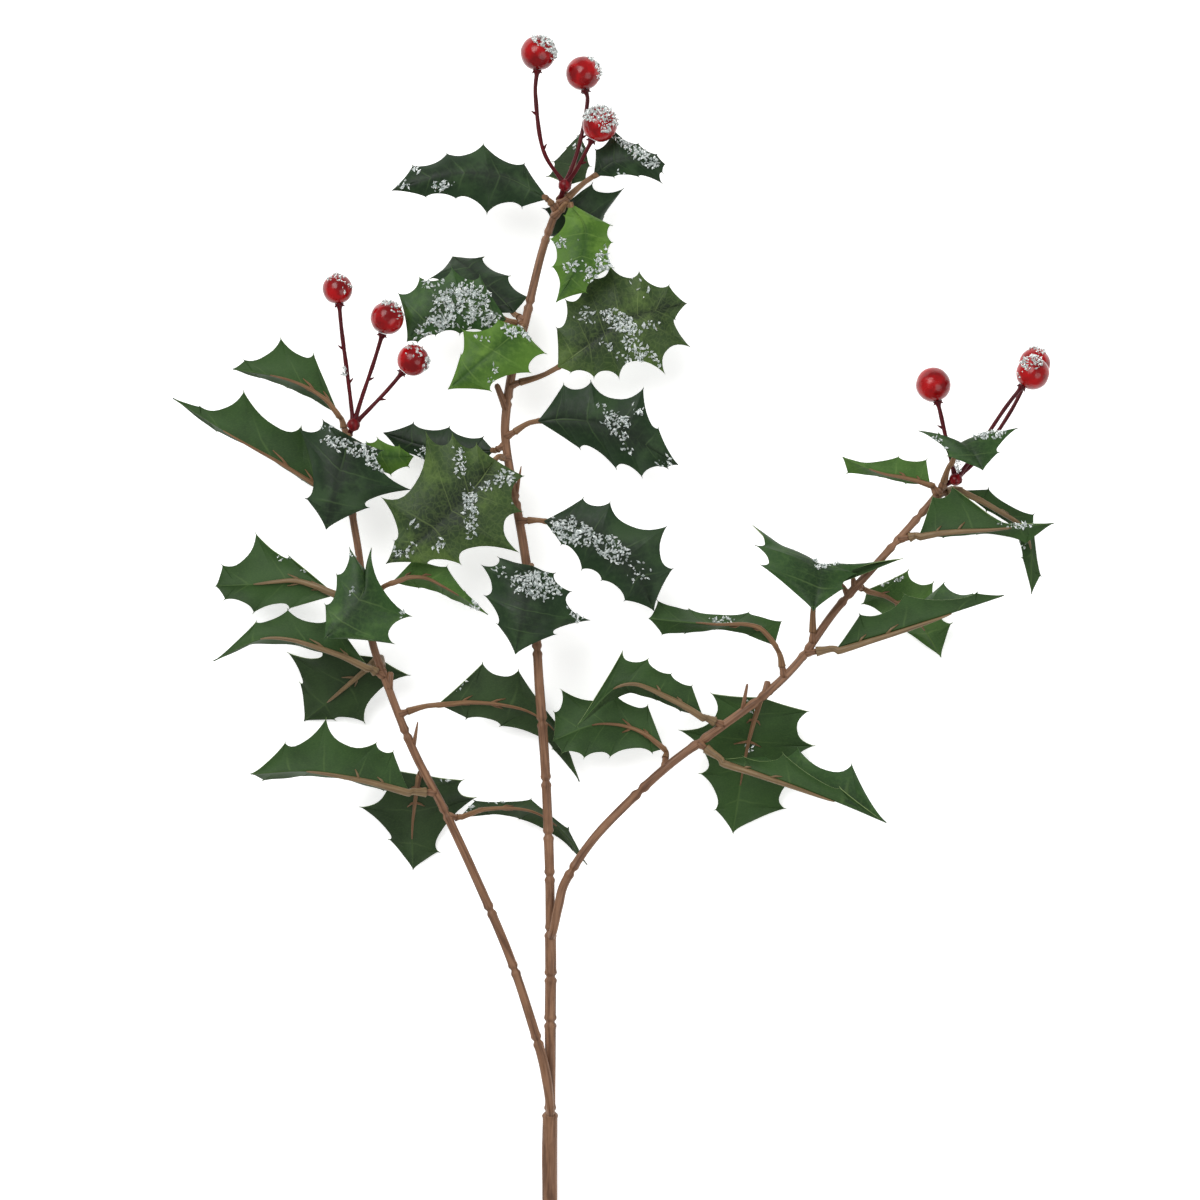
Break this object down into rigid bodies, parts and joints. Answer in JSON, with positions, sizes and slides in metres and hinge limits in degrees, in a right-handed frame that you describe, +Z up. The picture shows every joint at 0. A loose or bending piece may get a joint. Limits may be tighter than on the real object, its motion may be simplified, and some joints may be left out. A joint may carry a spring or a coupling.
{
  "type": "artificial holly spray",
  "caption": "Artificial holly spray lying flat: a jointed plastic stem with side branches, spiny cloth leaves on moulded petioles and picks of round red berries.",
  "frame": {"origin": "middle of the rectangle the spray covers, on the surface it lies on", "axes": "+Y along the main stem from its cut end to its crown, +Z up from the surface, +X to the right with the crown away from the viewer"},
  "size_m": [0.4404, 0.6788, 0.0714],
  "materials": {
    "bark": "brown moulded plastic with fine lengthwise grooves",
    "berry_stalk": "dark maroon wrapped wire",
    "berry": "red lacquered foam ball",
    "leaf_dark": "printed coated cloth, dark green",
    "leaf_mid": "printed coated cloth, green",
    "leaf_bright": "printed coated cloth, light green"
  },
  "bodies": {
    "root": {"main_stem": "bark", "left_branch": "bark", "right_branch": "bark", "center_berry_stalks": "berry_stalk", "left_berry_stalks": "berry_stalk", "right_berry_stalks": "berry_stalk", "center_berry_1": "berry", "center_berry_2": "berry", "center_berry_3": "berry", "left_berry_1": "berry", "left_berry_2": "berry", "left_berry_3": "berry", "right_berry_1": "berry", "right_berry_2": "berry", "right_berry_3": "berry", "center_leaf_01": "leaf_dark", "center_leaf_02": "leaf_dark", "center_leaf_03": "leaf_mid", "center_leaf_04": "leaf_dark", "center_leaf_05": "leaf_dark", "center_leaf_06": "leaf_mid", "center_leaf_07": "leaf_bright", "center_leaf_08": "leaf_mid", "center_leaf_09": "leaf_dark", "center_leaf_10": "leaf_bright", "center_leaf_11": "leaf_dark", "center_leaf_12": "leaf_dark", "center_leaf_13": "leaf_dark", "center_leaf_14": "leaf_dark", "left_leaf_01": "leaf_dark", "left_leaf_02": "leaf_mid", "left_leaf_03": "leaf_dark", "left_leaf_04": "leaf_dark", "left_leaf_05": "leaf_dark", "left_leaf_06": "leaf_mid", "left_leaf_07": "leaf_mid", "left_leaf_08": "leaf_bright", "left_leaf_09": "leaf_mid", "left_leaf_10": "leaf_mid", "left_leaf_11": "leaf_bright", "left_leaf_12": "leaf_dark", "left_leaf_13": "leaf_mid", "right_leaf_01": "leaf_mid", "right_leaf_02": "leaf_mid", "right_leaf_03": "leaf_mid", "right_leaf_04": "leaf_mid", "right_leaf_05": "leaf_mid", "right_leaf_06": "leaf_mid", "right_leaf_07": "leaf_mid", "right_leaf_08": "leaf_bright", "right_leaf_09": "leaf_mid", "right_leaf_10": "leaf_mid", "right_leaf_11": "leaf_bright", "right_leaf_12": "leaf_mid"}
  },
  "joints": []
}
